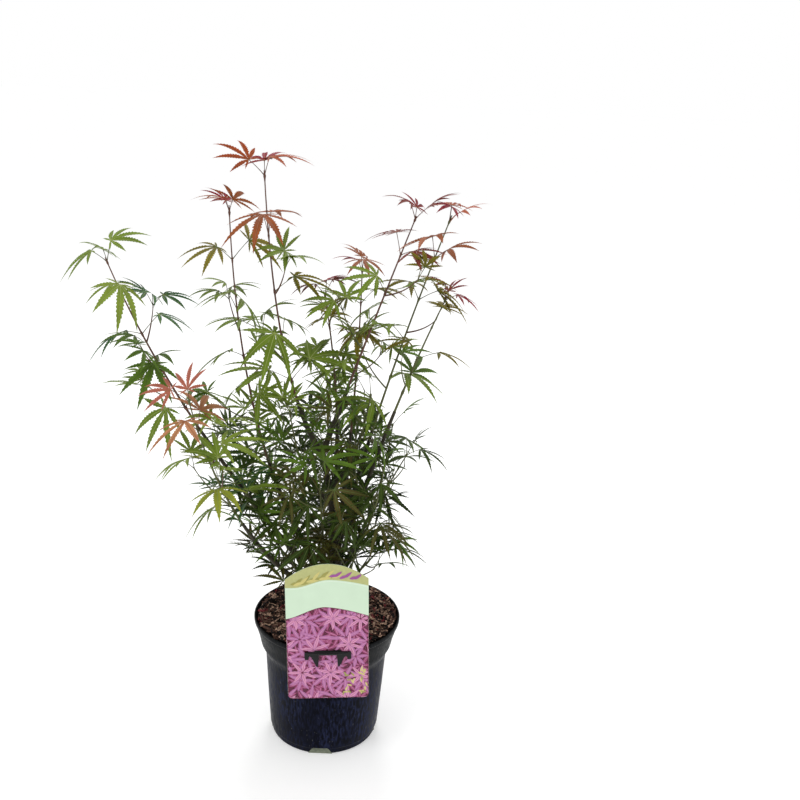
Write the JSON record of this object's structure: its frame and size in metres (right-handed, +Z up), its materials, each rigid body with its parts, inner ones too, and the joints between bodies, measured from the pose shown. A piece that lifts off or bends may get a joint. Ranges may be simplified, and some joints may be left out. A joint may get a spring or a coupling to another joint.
{
  "type": "potted japanese maple",
  "caption": "Young Japanese maple shrub with upright shoots of lobed leaves, in a round tapered nursery pot with a plant label clipped to its rim.",
  "frame": {"origin": "centre of the pot's flat underside", "axes": "+Z up along the pot's axis; -Y is the side that the plant label hangs on"},
  "size_m": [0.4936, 0.3593, 0.7717],
  "materials": {
    "pot": "satin black moulded plastic with fine streaks",
    "soil": "coarse brown bark and fibre mulch",
    "label": "printed plastic card",
    "clip": "black moulded plastic",
    "bark": "thin young bark",
    "leaves_dark": "dark green leaves",
    "leaves_green": "mid green leaves",
    "leaves_lime": "yellow green leaves",
    "leaves_bronze": "bronze to green leaves",
    "leaves_red": "red to bronze leaves"
  },
  "bodies": {
    "root": {"pot": "pot", "soil": "soil", "label": "label", "label_clip": "clip", "trunk": "bark", "leader_bough": "bark", "tall_shoot_bough": "bark", "tall_shoot_leaves": "leaves_bronze", "diagonal_shoot_bough": "bark", "diagonal_shoot_leaves": "leaves_bronze", "slim_shoot_bough": "bark", "slim_shoot_leaves": "leaves_bronze", "left_shoot_bough": "bark", "left_shoot_leaves": "leaves_green", "right_shoot_bough": "bark", "right_shoot_leaves": "leaves_red", "right_fork_shoot_bough": "bark", "right_fork_shoot_leaves": "leaves_red", "small_shoot_bough": "bark", "small_shoot_leaves": "leaves_bronze", "inner_right_shoot_bough": "bark", "inner_right_shoot_leaves": "leaves_bronze", "young_shoot_bough": "bark", "young_shoot_leaves": "leaves_lime", "left_spray_bough": "bark", "left_spray_leaves": "leaves_dark", "left_low_spray_bough": "bark", "left_low_spray_leaves": "leaves_dark", "front_spray_bough": "bark", "front_spray_leaves": "leaves_dark", "front_low_spray_bough": "bark", "front_low_spray_leaves": "leaves_dark", "right_front_spray_bough": "bark", "right_front_spray_leaves": "leaves_dark", "right_spray_bough": "bark", "right_spray_leaves": "leaves_dark", "right_low_spray_bough": "bark", "right_low_spray_leaves": "leaves_dark", "back_left_spray_bough": "bark", "back_left_spray_leaves": "leaves_dark", "back_spray_bough": "bark", "back_spray_leaves": "leaves_dark", "back_right_spray_bough": "bark", "back_right_spray_leaves": "leaves_dark", "back_low_spray_bough": "bark", "back_low_spray_leaves": "leaves_dark", "heart_left_spray_bough": "bark", "heart_left_spray_leaves": "leaves_green", "heart_right_spray_bough": "bark", "heart_right_spray_leaves": "leaves_green"}
  },
  "joints": []
}
